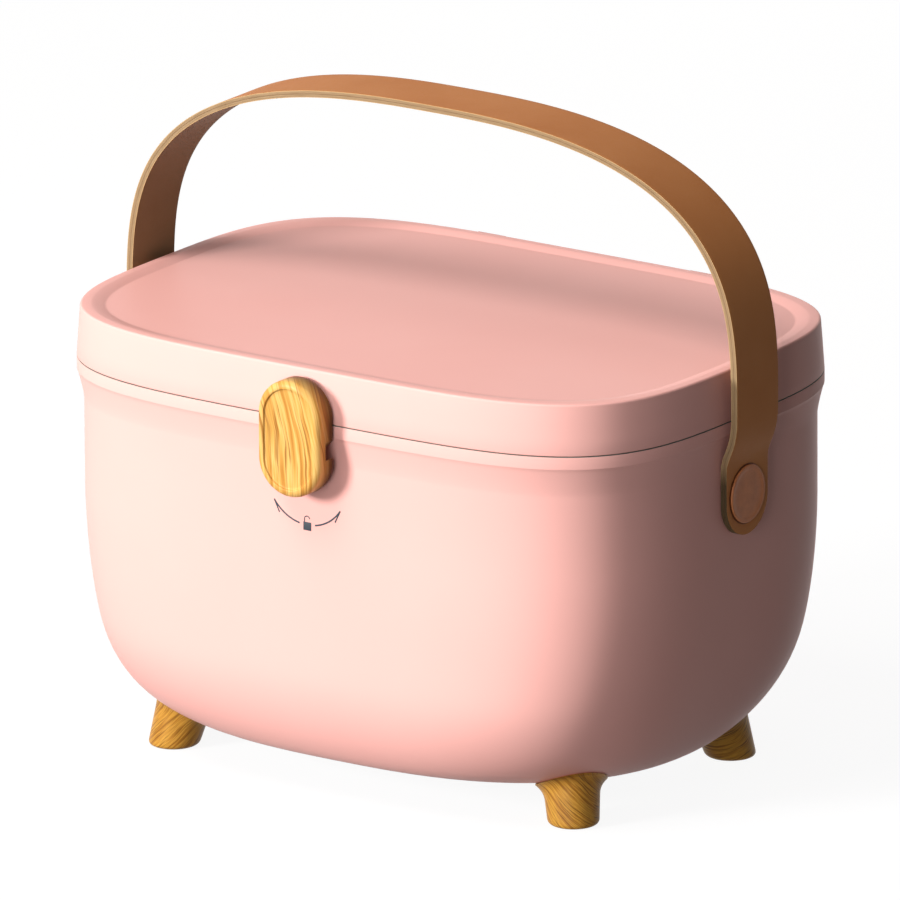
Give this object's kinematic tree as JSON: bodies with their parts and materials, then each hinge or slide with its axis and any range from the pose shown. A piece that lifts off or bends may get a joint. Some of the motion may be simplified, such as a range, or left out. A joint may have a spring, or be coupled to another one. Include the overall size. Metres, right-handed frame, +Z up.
{
  "type": "medication lock box",
  "caption": "Bowed plastic medicine box on splayed feet with a hinged lid, turning front latch, lift-out tray and riveted leather strap handle.",
  "frame": {"origin": "on the floor under the middle of the box", "axes": "+X along the box towards its right end as seen from the front, -Y towards the front latch, +Z up"},
  "size_m": [0.316, 0.2391, 0.2894],
  "materials": {
    "pink_shell": "satin moulded",
    "tray_plastic": "satin moulded",
    "wood_grain_plastic": "printed wood grain, satin",
    "strap_leather": "smooth, raw edges",
    "rivet_cap_brown": "satin",
    "steel": "zinc plated"
  },
  "bodies": {
    "box": {"tub": "pink_shell", "tray": "tray_plastic", "hinge_pin_left": "steel", "hinge_pin_right": "steel", "foot_front_left": "wood_grain_plastic", "foot_front_right": "wood_grain_plastic", "foot_rear_left": "wood_grain_plastic", "foot_rear_right": "wood_grain_plastic", "foot_screw_front_left": "steel", "foot_screw_front_right": "steel", "foot_screw_rear_left": "steel", "foot_screw_rear_right": "steel", "rivet_cap_left": "rivet_cap_brown", "rivet_cap_right": "rivet_cap_brown", "rivet_washer_left": "steel", "rivet_washer_right": "steel", "rivet_post_left": "steel", "rivet_post_right": "steel", "latch_keeper": "pink_shell", "keeper_screw": "steel"},
    "lid": {"lid": "pink_shell"},
    "latch": {"latch_knob": "wood_grain_plastic", "latch_spring_washer": "steel", "latch_washer": "steel", "latch_screw": "steel"},
    "handle": {"handle_strap": "strap_leather"}
  },
  "joints": [
    {"name": "lid_hinge", "type": "hinge", "parent": "box", "child": "lid", "pos_m": [0, 0.114, 0.1729], "axis": [-1, 0, 0], "range_deg": [0, 100], "deforming": ["handle_strap"]},
    {"name": "latch_turn", "type": "hinge", "parent": "lid", "child": "latch", "pos_m": [0, -0.11, 0.179], "axis": [0, 1, 0], "range_deg": [-90, 90]},
    {"name": "handle_swing", "type": "hinge", "parent": "box", "child": "handle", "pos_m": [0, 0, 0.1388], "axis": [1, 0, 0], "range_deg": [-90, 90]}
  ]
}
